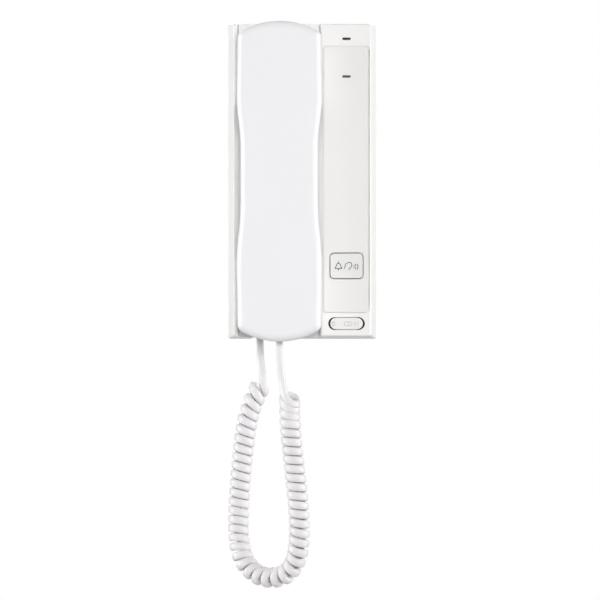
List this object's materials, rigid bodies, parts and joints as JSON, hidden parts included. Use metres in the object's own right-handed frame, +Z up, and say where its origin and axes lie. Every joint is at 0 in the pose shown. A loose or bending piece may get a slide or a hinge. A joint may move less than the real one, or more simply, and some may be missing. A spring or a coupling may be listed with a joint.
{
  "type": "audio intercom handset",
  "caption": "White wall-mounted intercom handset station with cradle, call button, rocking volume key, indicator slots and a curly cord hanging to the handset.",
  "frame": {"origin": "middle between the two wall screws, on the wall's surface", "axes": "+X to the right as seen by the user, +Y into the wall, +Z up"},
  "size_m": [0.0986, 0.06, 0.3747],
  "materials": {
    "housing": "satin",
    "handset": "satin",
    "panel": "satin",
    "keycap": "satin",
    "volume_cap": "satin",
    "lens_black": "gloss",
    "lens_grey": "gloss",
    "board": "satin",
    "steel": "satin",
    "black_plastic": "satin",
    "led": "gloss",
    "lever": "satin",
    "rubber": "matt",
    "jack": "satin",
    "capsule": "satin",
    "clear_plug": "clear",
    "cord": "satin"
  },
  "bodies": {
    "base": {"front_cover": "housing", "rear_case": "housing", "control_panel": "panel", "transmit_lens": "lens_black", "status_lens": "lens_grey", "key_board": "board", "main_board": "board", "wall_bracket": "steel", "case_screws": "steel", "key_board_screws": "steel", "board_screws": "steel", "hook_pin": "steel", "volume_key_pin": "steel", "hook_spring": "steel", "call_switch": "black_plastic", "volume_switches": "black_plastic", "board_parts": "black_plastic", "board_link": "black_plastic", "network_jack": "black_plastic", "ringer_speaker": "black_plastic", "hook_switch": "black_plastic", "indicator_leds": "led", "cradle_pads": "rubber", "base_cord_jack": "jack", "base_cord_plug": "clear_plug", "cord_base_run": "cord", "cord_coil": "cord", "base_cord_lead": "cord"},
    "handset": {"handset_outer_shell": "handset", "handset_inner_shell": "handset", "handset_screws": "steel", "receiver_gasket": "rubber", "receiver_capsule": "black_plastic", "microphone_boot": "rubber", "microphone": "capsule", "handset_weight": "steel", "handset_cord_jack": "jack", "handset_cord_lead": "cord", "handset_cord_plug": "clear_plug", "cord_handset_run": "cord"},
    "hook_lever": {"hook_lever": "lever"},
    "call_button": {"call_button": "keycap"},
    "volume_key": {"volume_key": "volume_cap"}
  },
  "joints": [
    {"name": "handset_lift", "type": "slide", "parent": "base", "child": "handset", "axis": [0, -1, 0], "range_m": [0, 0.04], "deforming": ["cord_coil"]},
    {"name": "hook_swing", "type": "hinge", "parent": "base", "child": "hook_lever", "pos_m": [-0.015, -0.0096, 0.047], "axis": [1, 0, 0], "range_deg": [0, 12], "deforming": ["hook_spring"]},
    {"name": "call_press", "type": "slide", "parent": "base", "child": "call_button", "axis": [0, 1, 0], "range_m": [0, 0.0006], "stiffness_N_per_m": 1500},
    {"name": "volume_rock", "type": "hinge", "parent": "base", "child": "volume_key", "pos_m": [0.0292, -0.0244, -0.09475], "axis": [0, 0, 1], "range_deg": [-3, 3], "stiffness_Nm_per_rad": 0.2}
  ],
  "couplings": [
    {"joint": "hook_swing", "follows": "handset_lift", "rad_per_m": 5.2}
  ]
}
